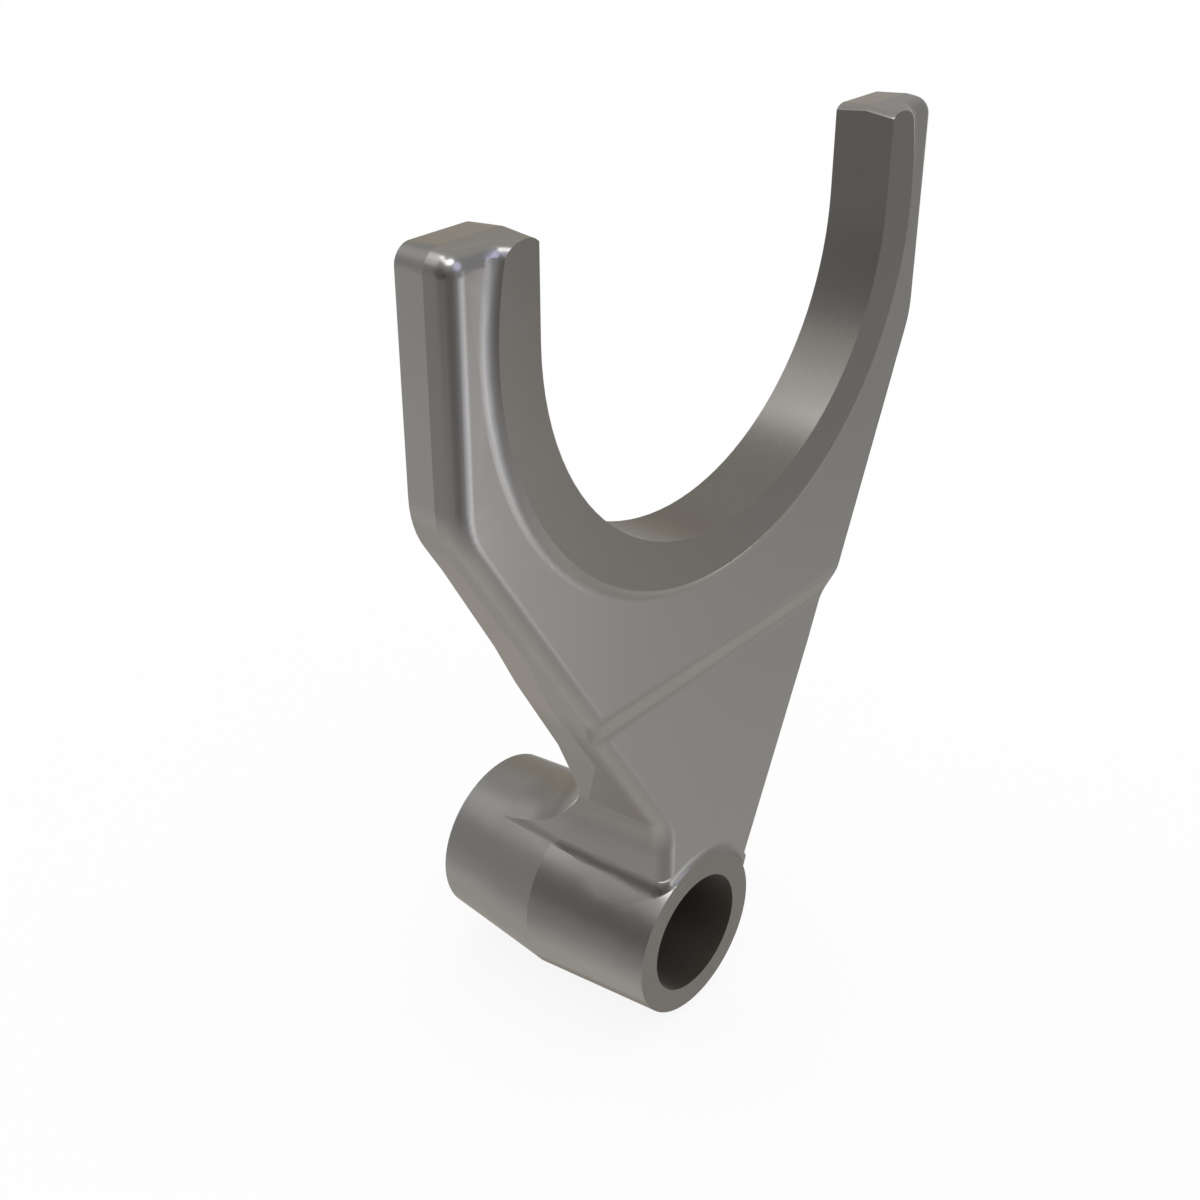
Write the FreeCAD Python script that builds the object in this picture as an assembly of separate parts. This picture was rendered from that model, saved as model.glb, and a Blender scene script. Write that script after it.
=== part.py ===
import FreeCAD, Part
import math
import os

from FreeCAD import Vector

# Transmission shift fork: one steel forging with machined surfaces.
# Origin on the rail bore axis, in the plane midway between the two pad faces.
# +X across the tines, -Y towards the raised pad face, +Z up to the tine tips.

# Machined surfaces
bore_d = 19.05            # sliding bore for the shift rail
hub_front_y = -2.5        # faced end of the hub on the pad side
hub_len = 40.0            # length of the hub along the rail
saddle_r = 35.0           # bored seat between the tines
saddle_z = 105.0          # height of the seat centre above the rail
pad_w = 8.9               # width over the two machined pad faces
pad_r = 41.5              # outer edge of the raised pad

# Forged plate
draft = math.radians(5.0)  # draft of the forged sides, both ways from the parting line
tine_w = 95.2             # width over the tines
tine_top = 117.05         # height of the tine tips
allowance = 1.0           # stock on the seat before boring
plate_front_y = -3.6      # front face of the upper plate
web_front_y = -2.0        # front face of the lower web
jog_top_z = 50.3          # top of the slanted band on the front face
jog_low_z = 46.2          # bottom of that band
back_taper_z = 77.5       # below this the back face leans back
back_taper = 0.133        # lean of the back face, mm per mm
hub_r = 15.05             # hub radius at its parting plane
hub_part_y = 18.5         # parting plane of the hub

# Parting line of the plate
part_jog_top_z = 62.0     # top of the step in the parting line
part_jog_low_z = 54.0     # bottom of the step
part_lean_z = 38.0        # below this it leans back towards the hub
web_part_y = 2.3          # depth of the parting line on the lower web
part_lean = 0.589         # lean of the parting line, mm per mm

# Outline of the plate seen from the front
left_slope = 0.642        # lean of the left flank, mm per mm
left_base_x = 6.7         # where the left flank line meets the height of the bore axis
right_slope = 0.400       # lean of the upper right flank
right_base_x = 13.19      # where the upper right flank line meets the height of the axis
low_slope = 0.442         # lean of the right flank below the bend
neck_x = -7.2             # left side of the neck over the hub

# Corners and roundings
tip_r = 2.7               # corners of the tine tips
shoulder_r = 13.0         # corner between tine and flank
neck_r = 10.5             # hollow corner between left flank and neck
hub_corner_r = 3.6        # hollow corner between the plate sides and the hub
band_top_r = 5.0          # rounding at the top of the slanted band
band_low_r = 6.0          # hollow at the bottom of the slanted band
edge_r = 2.35             # rounding along the front edges
rim_r = 3.15              # hollow rounding around the raised pad
hub_rim = 1.6             # width of the hollow rim around the hub's front end
root_r = 21.0             # large hollow from the back of the web to the hub

slope = math.tan(draft)
pad_y = pad_w / 2
tine_x = tine_w / 2
inner_x = saddle_r - allowance
far_y = hub_front_y + hub_len - 3.5
foot_z = -4.0


def side(nx, nz, c):
    """Straight side of the outline: outward normal and distance from the axis."""
    w = math.hypot(nx, nz)
    return nx / w, nz / w, c / w


left = side(-1, 0, tine_x)
top = side(0, 1, tine_top)
inner_left = side(1, 0, -inner_x)
inner_right = side(-1, 0, -inner_x)
right = side(1, 0, tine_x)
right_flank = side(1, -right_slope, right_base_x)
low_flank = side(1, -low_slope, right_base_x + (right_slope - low_slope) * part_lean_z)
neck = side(-1, 0, -neck_x)
left_flank = side(-1, -left_slope, -left_base_x)


def crossing(a, b, shift_a=0.0, shift_b=0.0):
    """Crossing point of two sides, each moved outwards."""
    den = a[0] * b[1] - a[1] * b[0]
    ca, cb = a[2] + shift_a, b[2] + shift_b
    return (ca * b[1] - cb * a[1]) / den, (a[0] * cb - b[0] * ca) / den


def bend(centre, a, b, r):
    """Arc about a centre from normal a to normal b; r is negative in a hollow."""
    mx, mz = a[0] + b[0], a[1] + b[1]
    m = math.hypot(mx, mz)
    normals = (a[:2], (mx / m, mz / m), b[:2])
    return lambda d: [(centre[0] + (r + d) * n[0], centre[1] + (r + d) * n[1]) for n in normals]


def corner(a, b, r):
    """Rounded corner between two sides; r is negative in a hollow."""
    return bend(crossing(a, b, -r, -r), a, b, r)


def vertex(a, b):
    """Sharp corner between two sides that both grow."""
    return lambda d: [crossing(a, b, d, d)]


def on_level(a, z):
    """Point of a growing side at a fixed height."""
    return lambda d: [crossing(a, (0.0, 1.0, z), d, 0.0)]


def hub_corner(a, radius, r):
    """Hollow corner of radius r between a side and the round of the hub."""
    turn = math.copysign(1.0, a[0])
    reach = a[2] + r
    run = math.sqrt((radius + r) ** 2 - reach ** 2)
    centre = (a[0] * reach - turn * a[1] * run, a[1] * reach + turn * a[0] * run)
    out = (centre[0] / (radius + r), centre[1] / (radius + r))
    return centre, a, out, -r


def fixed(x, z):
    """Point that stays where it is."""
    return lambda d: [(x, z)]


def wire(path, y, d):
    """Closed wire of an outline at one depth, grown outwards by d."""
    groups = [step(d) for step in path]
    edges = []
    for i, pts in enumerate(groups):
        pts = [Vector(x, y, z) for x, z in pts]
        if len(pts) == 3:
            edges.append(Part.Arc(*pts).toShape())
        x, z = groups[(i + 1) % len(groups)][0]
        nxt = Vector(x, y, z)
        if nxt.distanceToPoint(pts[-1]) > 1e-6:
            edges.append(Part.LineSegment(pts[-1], nxt).toShape())
    return Part.Wire(edges)


def sweep(path, *stations):
    """Drafted solid through stations of depth and growth."""
    return Part.makeLoft([wire(path, y, d) for y, d in stations], True, True)


def slab(points, x_from=-90.0, x_to=90.0):
    """Solid of a side profile, given as depth and height, run along X."""
    pts = [Vector(x_from, y, z) for y, z in points]
    return Part.Face(Part.makePolygon(pts + pts[:1])).extrude(Vector(x_to - x_from, 0, 0))


def turned(points, arc=None):
    """Solid turned about the hub axis from points of depth and radius."""
    pts = [Vector(0, y, r) for y, r in points]
    edges = []
    for i, p in enumerate(pts):
        q = pts[(i + 1) % len(pts)]
        if arc and i == arc[0]:
            edges.append(Part.Arc(p, Vector(0, *arc[1]), q).toShape())
        else:
            edges.append(Part.LineSegment(p, q).toShape())
    return Part.Face(Part.Wire(edges)).revolve(Vector(0, 0, 0), Vector(0, 1, 0), 360)


def rounded(solid, chosen, r):
    """The solid with the chosen edges rounded."""
    edges = [e for e in solid.Edges if chosen(e)]
    return solid.makeFillet(r, edges)


def edge_mid(e):
    """Middle point of an edge."""
    return e.valueAt((e.FirstParameter + e.LastParameter) / 2)


def parting_y(z):
    """Depth of the parting line at a height."""
    if z >= part_jog_top_z:
        return 0.0
    if z >= part_lean_z:
        rise = (part_jog_top_z - z) / (part_jog_top_z - part_jog_low_z)
        return web_part_y * min(1.0, rise)
    return web_part_y + part_lean * (part_lean_z - z)


def back_y(z):
    """Depth of the back face at a height."""
    return pad_y + back_taper * max(0.0, back_taper_z - z)


# Front half: every side leans outwards from the front face
near_y = 2 * plate_front_y
front = [(near_y, slope * near_y), (far_y - 9.0, slope * (far_y - 9.0)), (far_y, slope * (far_y - 9.0))]
saddle_a = bend((0.0, saddle_z), inner_left, (0.0, 1.0), -inner_x)
saddle_b = bend((0.0, saddle_z), (0.0, 1.0), inner_right, -inner_x)
tips_left = [corner(left, top, tip_r), corner(top, inner_left, tip_r)]
tips_right = [corner(inner_right, top, tip_r), corner(top, right, tip_r)]
shoulders = [corner(right, right_flank, shoulder_r), corner(left_flank, left, shoulder_r)]


def upper_path(z):
    """Outline of the upper plate, closed straight across at a height."""
    ends = [on_level(right_flank, z), on_level(left_flank, z)]
    return tips_left + [saddle_a, saddle_b] + tips_right + shoulders[:1] + ends + shoulders[1:]


hub_r0 = hub_r - slope * hub_part_y
right_corner = hub_corner(low_flank, hub_r0, hub_corner_r)
left_corner = hub_corner(neck, hub_r0, hub_corner_r)
centre_r, side_r, out_r, hollow_r = right_corner
centre_l, side_l, out_l, hollow_l = left_corner
lower_path = [
    vertex(right_flank, low_flank),
    bend(centre_r, side_r, out_r, hollow_r),
    fixed(3.0, foot_z),
    fixed(-3.0, foot_z),
    bend(centre_l, out_l, side_l, hollow_l),
    corner(neck, left_flank, -neck_r),
]
whole_path = tips_left + [saddle_a, saddle_b] + tips_right + shoulders[:1] + lower_path + shoulders[1:]
reach = tine_top + 20.0

# Side profile of the front: upper face, slanted band, lower web
jog = math.atan((web_front_y - plate_front_y) / (jog_top_z - jog_low_z))


def kink(y, z, r):
    """Three points of the arc that rounds a corner of the side profile; r is negative in a hollow."""
    run = r * math.tan(jog / 2)
    rise = r * (1 / math.cos(jog / 2) - 1)
    high, low = (0.0, run), (math.sin(jog) * run, -math.cos(jog) * run)
    if r < 0:
        high, low = low, high
    mid = (rise * math.cos(jog / 2), rise * math.sin(jog / 2))
    return [Vector(-90.0, y + dy, z + dz) for dy, dz in (high, mid, low)]


def front_block(y_up, y_low):
    """Solid behind a stepped front face, run along X."""
    up = kink(y_up, jog_top_z, band_top_r)
    low = kink(y_low, jog_low_z, -band_low_r)
    pts = [Vector(-90.0, y, z) for y, z in ((y_up, reach), (far_y, reach), (far_y, -20.0), (y_low, -20.0))]
    edges = [Part.LineSegment(p, q).toShape() for p, q in zip(pts, pts[1:])]
    edges += [Part.LineSegment(pts[3], low[2]).toShape(), Part.Arc(low[2], low[1], low[0]).toShape(),
              Part.LineSegment(low[0], up[2]).toShape(), Part.Arc(up[2], up[1], up[0]).toShape(),
              Part.LineSegment(up[0], pts[0]).toShape()]
    return Part.Face(Part.Wire(edges)).extrude(Vector(180.0, 0, 0))


front_half = sweep(whole_path, *front).common(front_block(plate_front_y, web_front_y))


def front_depth(z):
    """Depth of the front face at a height, with its kinks left sharp."""
    rise = (z - jog_low_z) / (jog_top_z - jog_low_z)
    return web_front_y + (plate_front_y - web_front_y) * max(0.0, min(1.0, rise))


def on_front(e):
    """Edges around the front face, apart from those inside the hub."""
    mid = edge_mid(e)
    near = all(abs(v.Point.y - front_depth(v.Point.z)) < 0.25 for v in e.Vertexes)
    level = abs(e.Vertexes[0].Point.z - e.Vertexes[-1].Point.z) < 1e-4
    across = level and mid.z < jog_top_z + band_top_r and e.Length > hub_r / 2
    return near and not across and math.hypot(mid.x, mid.z) > hub_r0 - 0.6


front_half = rounded(front_half, on_front, edge_r)

# Back half: every side leans inwards behind the parting line
deep_y = back_y(part_jog_top_z) + 4.0
back_up = sweep(upper_path(part_jog_top_z), (0.0, 0.0), (deep_y, -slope * deep_y))
front_up = slab([(near_y, part_jog_top_z), (near_y, reach), (0.0, reach), (0.0, part_jog_top_z)])


def back_block(left_side, right_side, z_top, z_low):
    """Part of the back half between two heights, with plane drafted sides."""
    rings = []
    for z in (z_top, z_low):
        ring = []
        edge = right_flank if z >= part_lean_z and right_side is low_flank else right_side
        for a, y in ((left_side, near_y), (edge, near_y), (edge, far_y), (left_side, far_y)):
            x, _ = crossing(a, (0.0, 1.0, z), slope * (2 * parting_y(z) - y), 0.0)
            ring.append(Vector(x, y, z))
        rings.append(Part.makePolygon(ring + ring[:1]))
    return Part.makeLoft(rings, True, True)


middle = side(1, 0, 0.0)
back_low = back_block(left_flank, middle, part_lean_z, hub_r)
back_low = back_low.fuse(back_block(neck, low_flank, part_lean_z, foot_z)).removeSplitter()
for z_top, z_low in ((part_jog_top_z, part_jog_low_z), (part_jog_low_z, part_lean_z)):
    back_low = back_low.fuse(back_block(left_flank, right_flank, z_top, z_low))


def leaning(a, y):
    """Side of the lower back half at a depth, where the parting line leans."""
    level = 2 * (web_part_y + part_lean * part_lean_z) - y
    return side(a[0], a[1] + 2 * slope * part_lean, a[2] + slope * level)


def hollow(section):
    """Drafted solid that fills a hollow corner of the back half."""
    return Part.makeLoft([wire(section(y), y, 0.0) for y in (near_y, far_y)], True, True)


def neck_hollow(y):
    """Section of the hollow corner between the neck and the left flank."""
    a, b = leaning(neck, y), leaning(left_flank, y)
    r = neck_r - slope * parting_y(crossing(neck, left_flank)[1])
    return [corner(a, b, -r), fixed(*crossing(a, b, -2.0, -2.0))]


def hub_hollow(y):
    """Section of the hollow corner between the neck and the hub."""
    r = hub_corner_r - slope * hub_part_y
    centre, a, out, hollow_r = hub_corner(leaning(neck, y), hub_r + slope * (hub_part_y - y), r)
    return [bend(centre, out, a, hollow_r), fixed(neck_x / 2, centre[1]), fixed(neck_x / 2, hub_r / 2)]


back_low = back_low.fuse([front_up, hollow(neck_hollow), hollow(hub_hollow)])

# Side profile: flat back, lean of the back face, then the turned hollow above the hub
lean = math.atan(back_taper)
wall_y = pad_y + back_taper * back_taper_z + root_r / math.cos(lean)
cone_z = hub_r + slope * hub_part_y + root_r / math.cos(draft)
root_z = (cone_z - slope * wall_y) / (1 - slope * back_taper)
root_y = wall_y - back_taper * root_z


def on_root(angle):
    """Point of the hollow at an angle up from its lowest point."""
    return root_y - root_r * math.sin(angle), root_z - root_r * math.cos(angle)


start, end = on_root(math.pi / 2 - lean), on_root(draft)
mid = on_root((math.pi / 2 - lean + draft) / 2)
profile = slab([(near_y, foot_z - 1), (near_y, reach), (pad_y, reach), (pad_y, back_taper_z),
                (back_y(foot_z - 1), foot_z - 1)])
root = turned([(0.0, 0.0), (0.0, start[1]), start, end, (end[0], 0.0)], (2, mid))
above = slab([(near_y, foot_z), (near_y, reach), (far_y, reach), (far_y, foot_z)])
forging = front_half.common(back_low).fuse(back_up)
plate = forging.common(profile.fuse(root.common(above)))

# Raised pad with its hollow rim, turned about the seat
rim_run = math.sqrt(rim_r ** 2 - (rim_r - (plate_front_y + pad_y)) ** 2)
deep = plate_front_y + 3.0
foot = pad_r + rim_run
half = math.asin(rim_run / rim_r) / 2
rim_mid = (plate_front_y - rim_r * (1 - math.cos(half)), foot - rim_r * math.sin(half))
pad = turned([(-pad_y, 0.0), (-pad_y, pad_r), (plate_front_y, foot), (deep, foot), (deep, 0.0)], (1, rim_mid))
pad.translate(Vector(0, 0, saddle_z))
pad = pad.common(sweep(upper_path(jog_low_z), *front[:2]))

# Along the tips the edge rounding climbs the hollow rim and runs out on the pad face
tip_rise = tine_top - edge_r - saddle_z
face_x = math.sqrt(pad_r ** 2 - tip_rise ** 2)
foot_x = math.sqrt(foot ** 2 - tip_rise ** 2)
knee_run, knee_rise = rim_r * math.sin(1.5 * half), rim_r * (1 - math.cos(1.5 * half))
lift = 0.03
steep = (plate_front_y + pad_y - knee_rise) / (foot_x - face_x - knee_run)
gentle = knee_rise / knee_run
run_out = edge_r * (1 - math.sin(draft)) - lift
climb = [(face_x - run_out / steep, -pad_y - lift - run_out),
         (foot_x - knee_run, plate_front_y - lift - knee_rise),
         (foot_x + 2.0, plate_front_y - lift + 2.0 * gentle)]


def climbing_section(x, y):
    """Section of the waste in front of the edge rounding, at a place along X and a depth."""
    axis = y + edge_r, tine_top + slope * (y + edge_r) - edge_r / math.cos(draft)
    turns = (0.0, math.pi / 4 - draft / 2, math.pi / 2 - draft)
    arc = [Vector(x, axis[0] - edge_r * math.cos(a), axis[1] + edge_r * math.sin(a)) for a in turns]
    front_y = climb[0][1] - 3.0
    corners = [arc[2], Vector(x, arc[2].y, tine_top + 3.0), Vector(x, front_y, tine_top + 3.0),
               Vector(x, front_y, arc[0].z), arc[0]]
    edges = [Part.LineSegment(p, q).toShape() for p, q in zip(corners, corners[1:])]
    return Part.Wire(edges + [Part.Arc(*arc).toShape()])


for s in (-1, 1):
    pad = pad.cut(Part.makeLoft([climbing_section(s * x, y) for x, y in climb], True, True))

# Hub: a round bar drafted both ways from its parting plane
hub_back_y = hub_front_y + hub_len
hub = turned([(hub_front_y, 0.0), (hub_front_y, hub_r - slope * (hub_part_y - hub_front_y)),
              (hub_part_y, hub_r), (hub_back_y, hub_r - slope * (hub_back_y - hub_part_y)),
              (hub_back_y, 0.0)])

# Hollow rim where the front of the web rises to the end of the hub
hub_front_r = hub_r - slope * (hub_part_y - hub_front_y)
rise = web_front_y - hub_front_y
rise_r = (hub_rim ** 2 + rise ** 2) / (2 * rise)
half = math.asin(hub_rim / rise_r) / 2
foot_r = hub_front_r + hub_rim
rim_mid = (web_front_y - rise_r * (1 - math.cos(half)), foot_r - rise_r * math.sin(half))
rim = turned([(hub_front_y, 0.0), (hub_front_y, hub_front_r), (web_front_y, foot_r),
              (web_front_y + 1.5, foot_r), (web_front_y + 1.5, 0.0)], (1, rim_mid))
rim_path = [on_level(left_flank, jog_low_z), on_level(right_flank, jog_low_z)] + lower_path
rim_depth = slab([(hub_front_y, -20), (hub_front_y, reach), (far_y, reach), (far_y, -20)])
rim_plate = sweep(rim_path, *front).common(rim_depth)


def on_rim_plate(e):
    """Front edges of the web plate, apart from its top and those inside the hub."""
    mid = edge_mid(e)
    near = all(abs(v.Point.y - hub_front_y) < 1e-4 for v in e.Vertexes)
    return near and mid.z < jog_low_z - 0.1 and math.hypot(mid.x, mid.z) > hub_r0 - 0.6


rim = rim.common(rounded(rim_plate, on_rim_plate, edge_r))

fork = plate.fuse(pad).fuse(hub).fuse(rim)

# Machined surfaces: bored seat, round spot on the back of the plate, rail bore
seat = Part.makeCylinder(saddle_r, 80.0, Vector(0, -40.0, saddle_z), Vector(0, 1, 0))
gap = Part.makeBox(2 * saddle_r, 80.0, reach, Vector(-saddle_r, -40.0, saddle_z))
bore = Part.makeCylinder(bore_d / 2, hub_len + 20.0, Vector(0, hub_front_y - 10.0, 0), Vector(0, 1, 0))
back_spot = Part.makeCylinder(pad_r, 40.0, Vector(0, pad_y, saddle_z), Vector(0, 1, 0))
fork = fork.cut(seat.fuse(gap)).cut(back_spot).cut(bore).removeSplitter()

os.makedirs("parts", exist_ok=True)
fork.exportStep("parts/shift_fork.step")
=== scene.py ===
"""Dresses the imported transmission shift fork: forged and machined steel, studio and camera."""

import logging
import math
from dataclasses import dataclass, field
from enum import Enum
from typing import Iterable, Sequence

import bmesh
import bpy
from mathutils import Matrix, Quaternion, Vector


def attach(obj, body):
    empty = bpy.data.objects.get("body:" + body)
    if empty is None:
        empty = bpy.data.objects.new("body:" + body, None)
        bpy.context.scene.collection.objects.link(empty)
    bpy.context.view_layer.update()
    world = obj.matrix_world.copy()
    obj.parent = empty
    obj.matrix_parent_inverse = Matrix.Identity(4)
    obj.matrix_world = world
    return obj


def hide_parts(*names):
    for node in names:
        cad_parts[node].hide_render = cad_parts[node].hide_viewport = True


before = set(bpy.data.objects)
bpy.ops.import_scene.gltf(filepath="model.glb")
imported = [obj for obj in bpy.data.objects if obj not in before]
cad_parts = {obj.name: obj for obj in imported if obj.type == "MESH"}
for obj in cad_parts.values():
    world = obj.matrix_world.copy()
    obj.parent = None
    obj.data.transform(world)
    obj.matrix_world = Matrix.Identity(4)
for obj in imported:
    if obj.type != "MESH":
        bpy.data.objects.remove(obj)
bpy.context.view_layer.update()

LOG = logging.getLogger("shift_fork")
MM = 0.001
IMAGE_PX = 1200


def linear(hex_colour: str) -> tuple[float, float, float, float]:
    """Turns an sRGB hex colour into linear RGBA.

    Args:
        hex_colour: Six hex digits after a hash sign.

    Returns:
        Linear red, green, blue and an alpha of 1.
    """
    parts = [int(hex_colour[i:i + 2], 16) / 255 for i in (1, 3, 5)]
    curve = [p / 12.92 if p <= 0.04045 else ((p + 0.055) / 1.055) ** 2.4 for p in parts]
    return curve[0], curve[1], curve[2], 1.0


def add_node(tree: bpy.types.NodeTree, kind: str, inputs: dict | None = None, **settings) -> bpy.types.Node:
    """Adds a node, sets its settings, and fills or links its inputs.

    Args:
        tree: Node tree that receives the node.
        kind: Node type name.
        inputs: Socket name or index to a value or to an output socket.
        **settings: Attributes of the node.

    Returns:
        The new node.
    """
    node = tree.nodes.new(kind)
    for name, value in settings.items():
        setattr(node, name, value)
    for name, value in (inputs or {}).items():
        if isinstance(value, bpy.types.NodeSocket):
            tree.links.new(value, node.inputs[name])
        else:
            node.inputs[name].default_value = value
    return node


def start_material(
    name: str, metallic: float
) -> tuple[bpy.types.Material, bpy.types.Node, bpy.types.NodeSocket]:
    """Starts a material on the Principled shader.

    Args:
        name: Name of the finish.
        metallic: 1 for bare metal, 0 for a coat.

    Returns:
        The material, its shader node and the Object coordinates.
    """
    mat = bpy.data.materials.new(name)
    mat.use_nodes = True
    shader = mat.node_tree.nodes["Principled BSDF"]
    shader.inputs["Metallic"].default_value = metallic
    where = add_node(mat.node_tree, "ShaderNodeTexCoord").outputs["Object"]
    return mat, shader, where


class Surface(Enum):
    """How a face of the fork was made. The value is its material slot."""

    FORGED = 0
    MACHINED = 1
    BORED = 2


@dataclass(frozen=True)
class ForgedSteel:
    """Closed-die forged carbon steel, shot blasted and tumbled.

    Blasting leaves an even satin grey with a very fine grain, and tumbling rubs the crests brighter.
    Behind the front, the flanks are painted darker near the corner over the hub: painted shade from the hub.
    """

    name: str = "forged_steel_blasted"
    colour: str = "#8f8e8c"
    rubbed_colour: str = "#949392"
    # Painted shade: black, mixed into the flanks near the hub.
    painted_shade_colour: str = "#000000"
    roughness: float = 0.26
    roughness_swing: float = 0.02
    cloud_mm: float = 14.0
    cloud_low: float = 0.3
    cloud_high: float = 0.7
    grain_mm: float = 0.35
    grain_depth_mm: float = 0.004
    grain_strength: float = 0.25
    # Painted shade: its full share and its reach around the hub's axis.
    painted_shade_share: float = 0.36
    painted_shade_full_mm: float = 46.0
    painted_shade_end_mm: float = 62.0
    hub_clear_mm: float = 16.0
    hub_shade_mm: float = 26.0
    front_mm: float = -1.5
    flank_mm: float = 1.5

    def painted_hub_shade(self, tree: bpy.types.NodeTree, where: bpy.types.NodeSocket) -> bpy.types.NodeSocket:
        """Share of painted shade on the flanks, by distance from the hub's axis and behind the front.

        Args:
            tree: The material's node tree.
            where: Object coordinates.

        Returns:
            The share of painted shade, from 0 to its full share.
        """
        split = add_node(tree, "ShaderNodeSeparateXYZ", {0: where})
        flat = add_node(tree, "ShaderNodeCombineXYZ", {0: split.outputs["X"], 2: split.outputs["Z"]})
        length = add_node(tree, "ShaderNodeVectorMath", {0: flat.outputs[0]}, operation="LENGTH")
        radius = length.outputs["Value"]
        near = add_node(tree, "ShaderNodeMapRange", {
            "Value": radius, "From Min": self.painted_shade_full_mm * MM, "From Max": self.painted_shade_end_mm * MM,
            "To Min": self.painted_shade_share, "To Max": 0.0}, interpolation_type="SMOOTHSTEP")
        clear = add_node(tree, "ShaderNodeMapRange", {
            "Value": radius, "From Min": self.hub_clear_mm * MM, "From Max": self.hub_shade_mm * MM},
            interpolation_type="SMOOTHSTEP")
        behind = add_node(tree, "ShaderNodeMapRange", {
            "Value": split.outputs["Y"], "From Min": self.front_mm * MM, "From Max": self.flank_mm * MM},
            interpolation_type="SMOOTHSTEP")
        share = add_node(tree, "ShaderNodeMath", {
            0: near.outputs["Result"], 1: clear.outputs["Result"]}, operation="MULTIPLY")
        return add_node(tree, "ShaderNodeMath", {
            0: share.outputs[0], 1: behind.outputs["Result"]}, operation="MULTIPLY").outputs[0]

    def material(self) -> bpy.types.Material:
        """Builds the procedural material.

        Returns:
            The material, patterned on Object coordinates.
        """
        mat, shader, where = start_material(self.name, 1.0)
        tree = mat.node_tree
        cloud = add_node(tree, "ShaderNodeTexNoise", {
            "Vector": where, "Scale": 1 / (self.cloud_mm * MM), "Detail": 4.0, "Roughness": 0.5})
        grain = add_node(tree, "ShaderNodeTexNoise", {
            "Vector": where, "Scale": 1 / (self.grain_mm * MM), "Detail": 3.0, "Roughness": 0.6})
        bright = add_node(tree, "ShaderNodeMix", {
            0: cloud.outputs["Fac"], 6: linear(self.colour), 7: linear(self.rubbed_colour)}, data_type="RGBA")
        # Painted shade: the flanks over the hub are mixed towards black.
        tint = add_node(tree, "ShaderNodeMix", {
            0: self.painted_hub_shade(tree, where), 6: bright.outputs[2], 7: linear(self.painted_shade_colour)},
            data_type="RGBA")
        tree.links.new(tint.outputs[2], shader.inputs["Base Color"])
        rough = add_node(tree, "ShaderNodeMapRange", {
            "Value": cloud.outputs["Fac"], "From Min": self.cloud_low, "From Max": self.cloud_high,
            "To Min": self.roughness + self.roughness_swing, "To Max": self.roughness - self.roughness_swing})
        tree.links.new(rough.outputs["Result"], shader.inputs["Roughness"])
        bump = add_node(tree, "ShaderNodeBump", {
            "Height": grain.outputs["Fac"], "Strength": self.grain_strength,
            "Distance": self.grain_depth_mm * MM})
        tree.links.new(bump.outputs["Normal"], shader.inputs["Normal"])
        return mat


@dataclass(frozen=True)
class MachinedSteel:
    """Milled and faced steel, left as cut.

    The cutter leaves fine arcs about the seat and rings about the rail bore. They darken the surface a
    little and spread its reflections.
    """

    name: str = "machined_steel_as_cut"
    colour: str = "#777470"
    bright_colour: str = "#7b7875"
    roughness: float = 0.28
    roughness_swing: float = 0.03
    ring_mm: float = 0.25
    ring_depth_mm: float = 0.002
    ring_strength: float = 0.2
    patch_mm: float = 11.11
    seat_height_mm: float = 105.0

    def cutter_path(self, tree: bpy.types.NodeTree, where: bpy.types.NodeSocket) -> bpy.types.NodeSocket:
        """Distance from the nearer cutting axis, the seat's or the bore's, plus the depth along it.

        Args:
            tree: The material's node tree.
            where: Object coordinates.

        Returns:
            The distance, in metres.
        """
        split = add_node(tree, "ShaderNodeSeparateXYZ", {0: where})
        upper = add_node(tree, "ShaderNodeMath", {
            0: split.outputs["Z"], 1: self.seat_height_mm * MM / 2}, operation="GREATER_THAN")
        centre = add_node(tree, "ShaderNodeMath", {
            0: upper.outputs[0], 1: self.seat_height_mm * MM}, operation="MULTIPLY")
        height = add_node(tree, "ShaderNodeMath", {
            0: split.outputs["Z"], 1: centre.outputs[0]}, operation="SUBTRACT")
        flat = add_node(tree, "ShaderNodeCombineXYZ", {0: split.outputs["X"], 2: height.outputs[0]})
        radius = add_node(tree, "ShaderNodeVectorMath", {0: flat.outputs[0]}, operation="LENGTH")
        return add_node(tree, "ShaderNodeMath", {
            0: radius.outputs["Value"], 1: split.outputs["Y"]}, operation="ADD").outputs[0]

    def material(self) -> bpy.types.Material:
        """Builds the procedural material.

        Returns:
            The material, patterned on Object coordinates.
        """
        mat, shader, where = start_material(self.name, 1.0)
        tree = mat.node_tree
        rings = add_node(tree, "ShaderNodeTexNoise", {
            "W": self.cutter_path(tree, where), "Scale": 1 / (self.ring_mm * MM), "Detail": 2.0,
            "Roughness": 0.5}, noise_dimensions="1D")
        patch = add_node(tree, "ShaderNodeTexNoise", {
            "Vector": where, "Scale": 1 / (self.patch_mm * MM), "Detail": 2.0})
        tint = add_node(tree, "ShaderNodeMix", {
            0: patch.outputs["Fac"], 6: linear(self.colour), 7: linear(self.bright_colour)}, data_type="RGBA")
        tree.links.new(tint.outputs[2], shader.inputs["Base Color"])
        rough = add_node(tree, "ShaderNodeMapRange", {
            "Value": rings.outputs["Fac"], "To Min": self.roughness - self.roughness_swing,
            "To Max": self.roughness + self.roughness_swing})
        tree.links.new(rough.outputs["Result"], shader.inputs["Roughness"])
        bump = add_node(tree, "ShaderNodeBump", {
            "Height": rings.outputs["Fac"], "Strength": self.ring_strength,
            "Distance": self.ring_depth_mm * MM})
        tree.links.new(bump.outputs["Normal"], shader.inputs["Normal"])
        return mat


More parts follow.
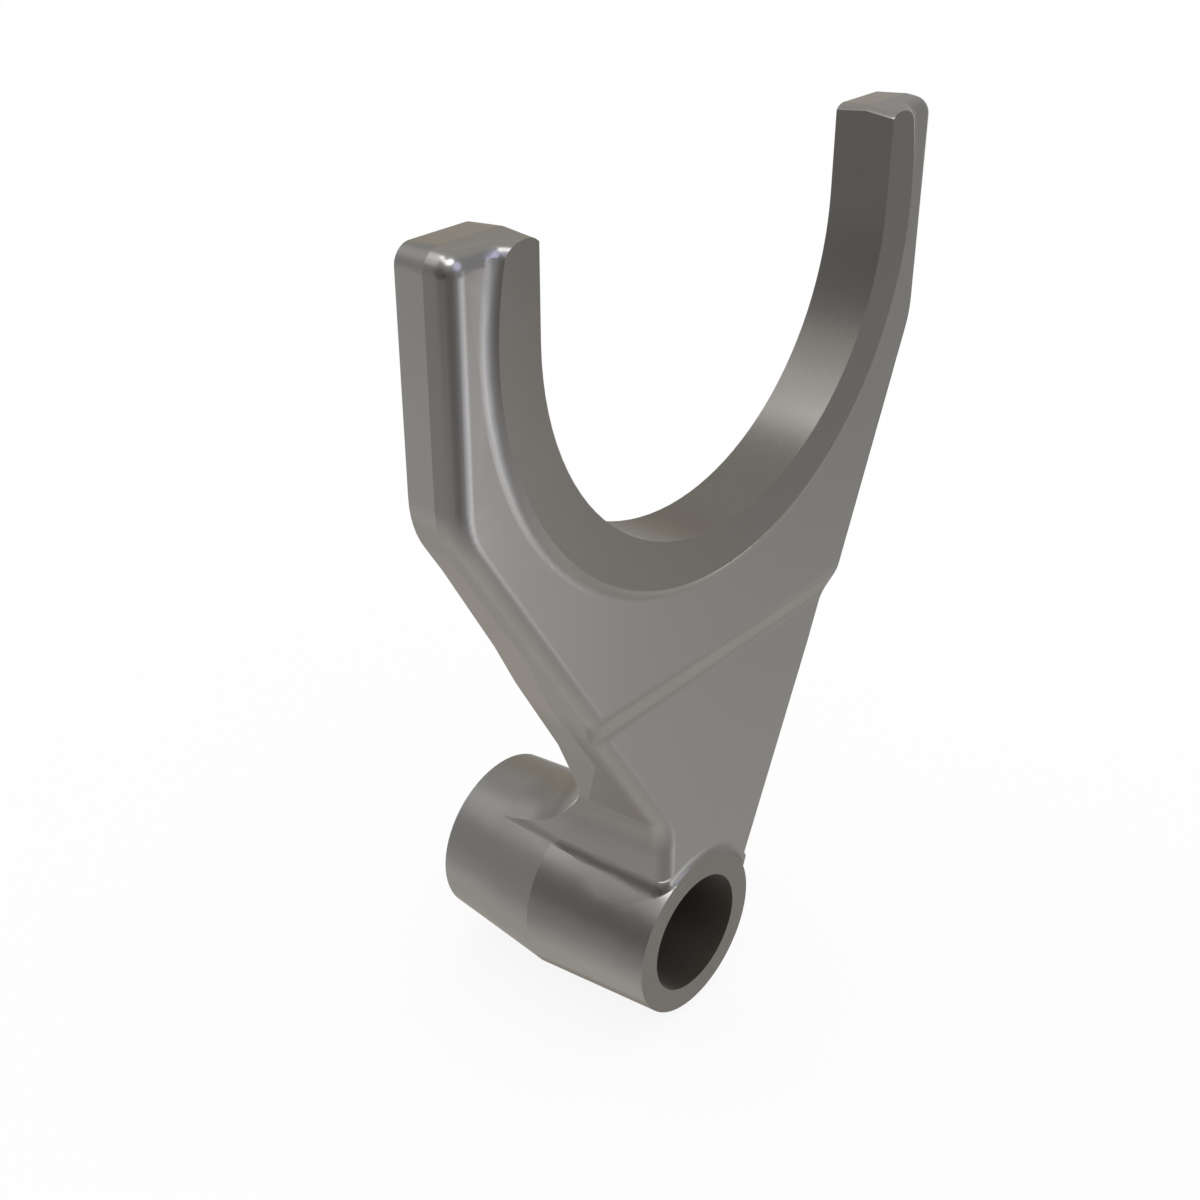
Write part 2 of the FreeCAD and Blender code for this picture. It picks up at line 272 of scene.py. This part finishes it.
@dataclass(frozen=True)
class ShadedBore:
    """Bored steel, matt and painted nearly black with a faint brown cast.

    The near-black colour is painted shade, standing in for the shade deep inside the bore.
    """

    name: str = "bored_steel_painted_shade"
    # Painted shade: near black deep in the bore, lighter towards both mouths.
    colour: str = "#0f0d0b"
    mouth_colour: str = "#3a352f"
    roughness: float = 0.6
    gloss: float = 0.12
    middle_mm: float = 17.5
    # Painted shade: half-length kept darkest, and where the mouths reach their lighter colour.
    deep_shade_mm: float = 4.0
    mouth_mm: float = 21.0
    uneven_low: float = 0.7
    uneven_high: float = 1.1
    patch_mm: float = 6.0

    def material(self) -> bpy.types.Material:
        """Builds the procedural material, darkest mid-depth and painted lighter towards both mouths: painted
        shade in the bore.

        Returns:
            The material, patterned on Object coordinates.
        """
        mat, shader, where = start_material(self.name, 0.0)
        tree = mat.node_tree
        shader.inputs["Roughness"].default_value = self.roughness
        shader.inputs["Specular IOR Level"].default_value = self.gloss
        patch = add_node(tree, "ShaderNodeTexNoise", {
            "Vector": where, "Scale": 1 / (self.patch_mm * MM), "Detail": 3.0})
        split = add_node(tree, "ShaderNodeSeparateXYZ", {0: where})
        inward = add_node(tree, "ShaderNodeMath", {
            0: split.outputs["Y"], 1: self.middle_mm * MM}, operation="SUBTRACT")
        outward = add_node(tree, "ShaderNodeMath", {0: inward.outputs[0]}, operation="ABSOLUTE")
        toward_mouth = add_node(tree, "ShaderNodeMapRange", {
            "Value": outward.outputs[0], "From Min": self.deep_shade_mm * MM, "From Max": self.mouth_mm * MM})
        uneven = add_node(tree, "ShaderNodeMapRange", {
            "Value": patch.outputs["Fac"], "To Min": self.uneven_low, "To Max": self.uneven_high})
        share = add_node(tree, "ShaderNodeMath", {
            0: toward_mouth.outputs["Result"], 1: uneven.outputs["Result"]}, operation="MULTIPLY", use_clamp=True)
        # Painted shade: mixes from near black mid-depth to the lighter colour at the mouths.
        tint = add_node(tree, "ShaderNodeMix", {
            0: share.outputs[0], 6: linear(self.colour), 7: linear(self.mouth_colour)}, data_type="RGBA")
        tree.links.new(tint.outputs[2], shader.inputs["Base Color"])
        return mat


@dataclass
class ShiftFork:
    """The one-piece fork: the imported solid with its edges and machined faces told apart.

    Sizes are in millimetres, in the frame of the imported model.
    """

    node: str = "shift_fork"
    seat_radius: float = 35.0
    seat_height: float = 105.0
    spot_radius: float = 41.5
    pad_depth: float = 4.45
    bore_radius: float = 9.525
    hub_front: float = -2.5
    hub_back: float = 37.5
    hub_parting: float = 18.5
    step_top: float = 62.0
    step_low: float = 54.0
    lean_top: float = 38.0
    web_parting: float = 2.3
    parting_lean: float = 0.589
    crease_deg: float = 20.0
    parting_deg: float = 3.0
    slack: float = 0.03
    facet_slack: float = 0.2
    mouth_margin: float = 2.0
    weld: float = 0.002
    rim_foot_radius: float = 43.65
    tip_height: float = 114.9
    rounding_back: float = -1.4
    step_width: float = 0.2
    edge_break: float = 0.35
    edge_break_low: float = 108.9
    forged: ForgedSteel = field(default_factory=ForgedSteel)
    machined: MachinedSteel = field(default_factory=MachinedSteel)
    bored: ShadedBore = field(default_factory=ShadedBore)

    def parting_depth(self, height: float) -> float:
        """Finds how far back the die parting line runs on the plate.

        Args:
            height: Height above the rail's axis, in mm.

        Returns:
            Depth of the parting line, in mm.
        """
        if height >= self.step_top:
            return 0.0
        if height >= self.lean_top:
            return self.web_parting * min(1.0, (self.step_top - height) / (self.step_top - self.step_low))
        return self.web_parting + self.parting_lean * (self.lean_top - height)

    def on_parting(self, point: Vector) -> bool:
        """Tells whether a point lies on the die parting line.

        Args:
            point: Place in metres.

        Returns:
            True on the plate's or the hub's parting line.
        """
        x, y, z = point / MM
        outside = math.hypot(x, z) > self.bore_radius + self.mouth_margin
        on_hub = abs(y - self.hub_parting) < self.slack and outside
        return on_hub or abs(y - self.parting_depth(z)) < self.slack

    def close_tip_rim(self, shape: bmesh.types.BMesh) -> None:
        """Closes the hairline step where the pad's hollow rim runs out into the tips' edge rounding.

        Args:
            shape: Mesh of the fork, in metres.
        """
        step = []
        for vert in shape.verts:
            x, y, z = vert.co / MM
            off = abs(math.hypot(x, z - self.seat_height) - self.rim_foot_radius)
            if z > self.tip_height and y < self.rounding_back and off < self.slack:
                step.append(vert)
        bmesh.ops.remove_doubles(shape, verts=step, dist=self.step_width * MM)

    def break_tip_edges(self, shape: bmesh.types.BMesh) -> None:
        """Breaks the sharp edges between the machined seat and the tips' forged rounding.

        Args:
            shape: Mesh of the fork, in metres, with its slots set.
        """
        sharp = []
        for edge in shape.edges:
            on_wall = all(abs(abs(v.co.x / MM) - self.seat_radius) < self.slack for v in edge.verts)
            high = all(v.co.z / MM > self.edge_break_low for v in edge.verts)
            if on_wall and high and not edge.smooth:
                sharp.append(edge)
        bmesh.ops.bevel(shape, geom=sharp, offset=self.edge_break * MM, offset_type="OFFSET", segments=2,
                        profile=0.5, affect="EDGES", clamp_overlap=True, material=0)

    def made_by(self, centre: Vector, normal: Vector) -> Surface:
        """Names how a face was made, from where it lies.

        Args:
            centre: Middle of the face, in metres.
            normal: Its outward direction.

        Returns:
            The kind of surface.
        """
        x, y, z = centre / MM
        from_seat = math.hypot(x, z - self.seat_height)
        ends = (-self.pad_depth, self.pad_depth, self.hub_front, self.hub_back)
        faced = abs(normal.y) > 0.999 and min(abs(y - end) for end in ends) < self.slack
        if math.hypot(x, z) < self.bore_radius + self.facet_slack:
            return Surface.BORED
        on_arc = min(abs(from_seat - r) for r in (self.seat_radius, self.spot_radius)) < self.facet_slack
        on_wall = z > self.seat_height and abs(abs(x) - self.seat_radius) < self.slack
        high = z > self.seat_height - self.spot_radius
        seated = abs(normal.y) < 0.02 and high and (on_arc or on_wall)
        return Surface.MACHINED if faced or seated else Surface.FORGED

    def mark_surfaces(self, shape: bmesh.types.BMesh) -> None:
        """Gives each face its slot, and creases the edges that are sharp, parted or cut.

        Args:
            shape: Mesh of the fork, in metres.
        """
        crease = math.radians(self.crease_deg)
        parting = math.radians(self.parting_deg)
        for face in shape.faces:
            face.smooth = True
            face.material_index = self.made_by(face.calc_center_median(), face.normal).value
        for edge in shape.edges:
            sides = edge.link_faces
            if len(sides) != 2:
                continue
            turned = sides[0].normal.angle(sides[1].normal, 0.0)
            parted = turned > parting and all(self.on_parting(v.co) for v in edge.verts)
            cut = sides[0].material_index != sides[1].material_index
            edge.smooth = not (turned > crease or parted or cut)

    def build(self) -> bpy.types.Object:
        """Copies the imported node, joins its facets, marks creases and slots, and dresses it.

        Returns:
            The finished piece, riding on the root body.
        """
        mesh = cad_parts[self.node].data.copy()
        mesh.name = "fork_skin"
        shape = bmesh.new()
        shape.from_mesh(mesh)
        bmesh.ops.remove_doubles(shape, verts=shape.verts, dist=self.weld * MM)
        self.close_tip_rim(shape)
        self.mark_surfaces(shape)
        self.break_tip_edges(shape)
        mesh.materials.clear()
        mesh.materials.append(self.forged.material())
        mesh.materials.append(self.machined.material())
        mesh.materials.append(self.bored.material())
        shape.to_mesh(mesh)
        shape.free()
        piece = bpy.data.objects.new("fork_skin", mesh)
        bpy.context.scene.collection.objects.link(piece)
        weigh = piece.modifiers.new("face_weight", "WEIGHTED_NORMAL")
        weigh.keep_sharp = True
        weigh.weight = 50
        # The satin metal mirrors the light tent alone, so that the corner over the hub keeps its light.
        piece.visible_glossy = False
        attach(piece, "root")
        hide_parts(self.node)
        return piece


@dataclass(frozen=True)
class Glow:
    """A soft patch on the cloth of the light tent, lit by a soft box or shaded by a flag behind it.

    Angles are in degrees: azimuth 0 is towards -Y and 90 towards +X, and elevation is above the horizon.
    """

    azimuth: float
    elevation: float
    inner: float
    outer: float
    strength: float
    colour: str = "#ffffff"

    def direction(self) -> Vector:
        """Finds where the patch lies.

        Returns:
            Unit vector towards the patch.
        """
        a, e = math.radians(self.azimuth), math.radians(self.elevation)
        return Vector((math.sin(a) * math.cos(e), -math.cos(a) * math.cos(e), math.sin(e)))


@dataclass
class Studio:
    """White world, white paper floor, light tent seen only in reflections, and the photograph's camera."""

    floor_height_mm: float = -15.2
    floor_width_mm: float = 6000.0
    paper_white: float = 0.95
    paper_seen: float = 0.88
    tent_radius_mm: float = 2500.0
    tent_centre_mm: tuple[float, float, float] = (0.0, 10.0, 50.0)
    cloth_least: float = 0.02
    cloth_level: float = 0.56
    cloth_colour: str = "#fefdfb"
    glows: Sequence[Glow] = (
        Glow(12, -23, 0, 20, 0.82, "#f0efff"),
        Glow(30, -25, 0, 20, 0.90, "#fffefc"),
        Glow(-45, -2, 5, 41, -0.27),
        Glow(-91, 9, 14, 35, -0.30),
        Glow(-150, 57, 0, 18, 1.0),
        Glow(111, 62, 24, 44, 0.21, "#fff4e0"),
        Glow(150, -39, 38, 42, -0.19),
        Glow(151, -72, 0, 79, 0.39, "#fff6e8"),
        Glow(96, -62, 27, 31, -0.24),
        Glow(187, 27, 0, 26, 0.33),
        Glow(-30, 65, 10, 14, 6.3),
        Glow(5, 36, 16, 20, 1.54, "#cfd1ff"),
        Glow(91, -23, 0, 18, -0.38),
        Glow(127, -38, 7, 15, 1.15, "#fff8ee"),
        Glow(103, -14, 5, 11, 1.05, "#fff8ee"),
        Glow(-146, 66, 2, 9, 4.0),
        Glow(-64, 62, 4, 11, 5.0),
        Glow(-104, 67, 3, 11, 3.4),
        Glow(156, -46, 0, 24, -0.16),
        Glow(-152, -20, 0, 26, 0.15),
        Glow(-125, -22, 0, 14, -0.08),
        Glow(137, 9, 0, 26, -0.12, "#30a8ff"),
        Glow(25, 0, 1, 8, 1.46, "#dfe0ff"),
        Glow(-133, 42, 1, 17, 0.74),
    )

    def world(self) -> None:
        """Plain white surroundings of strength 1, the same to every ray."""
        world = bpy.data.worlds.new("white_room")
        bpy.context.scene.world = world
        world.use_nodes = True
        background = world.node_tree.nodes["Background"]
        background.inputs["Color"].default_value = (1, 1, 1, 1)
        background.inputs["Strength"].default_value = 1.0

    def cloth(self) -> bpy.types.Material:
        """Cloth of the light tent, glowing evenly but for the soft patches.

        Returns:
            The material, patterned on Object coordinates from the middle of the tent.
        """
        mat = bpy.data.materials.new("tent_cloth")
        mat.use_nodes = True
        tree = mat.node_tree
        tree.nodes.clear()
        out = add_node(tree, "ShaderNodeOutputMaterial")
        where = add_node(tree, "ShaderNodeTexCoord").outputs["Object"]
        toward = add_node(tree, "ShaderNodeVectorMath", {0: where}, operation="NORMALIZE").outputs[0]
        total = add_node(tree, "ShaderNodeVectorMath", {
            0: linear(self.cloth_colour)[:3], "Scale": self.cloth_level}, operation="SCALE").outputs[0]
        for glow in self.glows:
            aligned = add_node(tree, "ShaderNodeVectorMath", {0: toward, 1: glow.direction()},
                               operation="DOT_PRODUCT")
            fade = add_node(tree, "ShaderNodeMapRange", {
                "Value": aligned.outputs["Value"], "From Min": math.cos(math.radians(glow.outer)),
                "From Max": math.cos(math.radians(glow.inner)), "To Min": 0.0, "To Max": glow.strength},
                interpolation_type="SMOOTHERSTEP")
            tinted = add_node(tree, "ShaderNodeVectorMath", {
                0: linear(glow.colour)[:3], "Scale": fade.outputs["Result"]}, operation="SCALE")
            total = add_node(tree, "ShaderNodeVectorMath", {0: total, 1: tinted.outputs[0]},
                             operation="ADD").outputs[0]
        kept = add_node(tree, "ShaderNodeVectorMath", {
            0: total, 1: (self.cloth_least, self.cloth_least, self.cloth_least)}, operation="MAXIMUM")
        lit = add_node(tree, "ShaderNodeEmission", {"Color": kept.outputs[0], "Strength": 1.0})
        tree.links.new(lit.outputs[0], out.inputs["Surface"])
        return mat

    def tent(self) -> bpy.types.Object:
        """Round light tent that the metal reflects and that nothing else sees.

        Returns:
            The tent, marked as stage.
        """
        shape = bmesh.new()
        bmesh.ops.create_icosphere(shape, subdivisions=5, radius=self.tent_radius_mm * MM)
        mesh = bpy.data.meshes.new("light_tent")
        shape.to_mesh(mesh)
        shape.free()
        mesh.materials.append(self.cloth())
        tent = bpy.data.objects.new("light_tent", mesh)
        tent.location = Vector(self.tent_centre_mm) * MM
        tent.visible_camera = False
        tent.visible_diffuse = False
        tent.visible_shadow = False
        tent.visible_transmission = False
        bpy.context.scene.collection.objects.link(tent)
        return tent

    def floor(self) -> bpy.types.Object:
        """White paper floor that takes a faint shadow.

        To the camera and in reflections and refractions the paper is plain white, less its shadow.

        Returns:
            The floor, marked as stage.
        """
        half = self.floor_width_mm * MM / 2
        z = self.floor_height_mm * MM
        mesh = bpy.data.meshes.new("floor")
        mesh.from_pydata([(-half, -half, z), (half, -half, z), (half, half, z), (-half, half, z)], [],
                         [(0, 1, 2, 3)])
        mat = bpy.data.materials.new("white_paper")
        mat.use_nodes = True
        tree = mat.node_tree
        tree.nodes.clear()
        out = add_node(tree, "ShaderNodeOutputMaterial")
        path = add_node(tree, "ShaderNodeLightPath")
        seen = add_node(tree, "ShaderNodeMath", {
            0: path.outputs["Is Camera Ray"], 1: path.outputs["Is Glossy Ray"]}, operation="MAXIMUM")
        seen = add_node(tree, "ShaderNodeMath", {
            0: seen.outputs[0], 1: path.outputs["Is Transmission Ray"]}, operation="MAXIMUM")
        share = add_node(tree, "ShaderNodeMath", {
            0: seen.outputs[0], 1: self.paper_seen}, operation="MULTIPLY")
        paper = add_node(tree, "ShaderNodeBsdfDiffuse", {
            "Color": (self.paper_white, self.paper_white, self.paper_white, 1)})
        white = add_node(tree, "ShaderNodeEmission", {"Color": (1, 1, 1, 1), "Strength": 1.0})
        mix = add_node(tree, "ShaderNodeMixShader", {
            0: share.outputs[0], 1: paper.outputs[0], 2: white.outputs[0]})
        tree.links.new(mix.outputs[0], out.inputs["Surface"])
        mesh.materials.append(mat)
        floor = bpy.data.objects.new("floor", mesh)
        floor.visible_glossy = False
        bpy.context.scene.collection.objects.link(floor)
        return floor

    def camera(self) -> bpy.types.Object:
        """Camera at the photograph's place, from the solved view.

        Returns:
            The camera, set as the scene's own.
        """
        place = Vector((-158.58, -115.69, 166.64)) * MM
        yaw, pitch, roll = (math.radians(a) for a in (50.18, 29.24, 0.09))
        focal_px = 1649.45
        sensor_mm = 36.0
        lens = bpy.data.cameras.new("photo_camera")
        lens.sensor_width = sensor_mm
        lens.lens = focal_px * sensor_mm / IMAGE_PX
        lens.clip_start = 0.01
        camera = bpy.data.objects.new("photo_camera", lens)
        ahead = Vector((math.sin(yaw) * math.cos(pitch), math.cos(yaw) * math.cos(pitch), -math.sin(pitch)))
        camera.rotation_mode = "QUATERNION"
        camera.rotation_quaternion = ahead.to_track_quat("-Z", "Y") @ Quaternion((0, 0, 1), roll)
        camera.location = place
        bpy.context.scene.collection.objects.link(camera)
        bpy.context.scene.camera = camera
        return camera


def report(pieces: Iterable[bpy.types.Object]) -> None:
    """Logs each piece with its number of faces.

    Args:
        pieces: Dressed pieces.
    """
    for piece in pieces:
        LOG.info("%s: %d faces", piece.name, len(piece.data.polygons))


def main() -> None:
    """Builds the studio and the fork."""
    logging.basicConfig(level=logging.INFO)
    bpy.context.scene.view_settings.view_transform = "Standard"
    studio = Studio()
    studio.world()
    studio.tent()
    studio.floor()
    studio.camera()
    report([ShiftFork().build()])


if __name__ == "__main__":
    main()
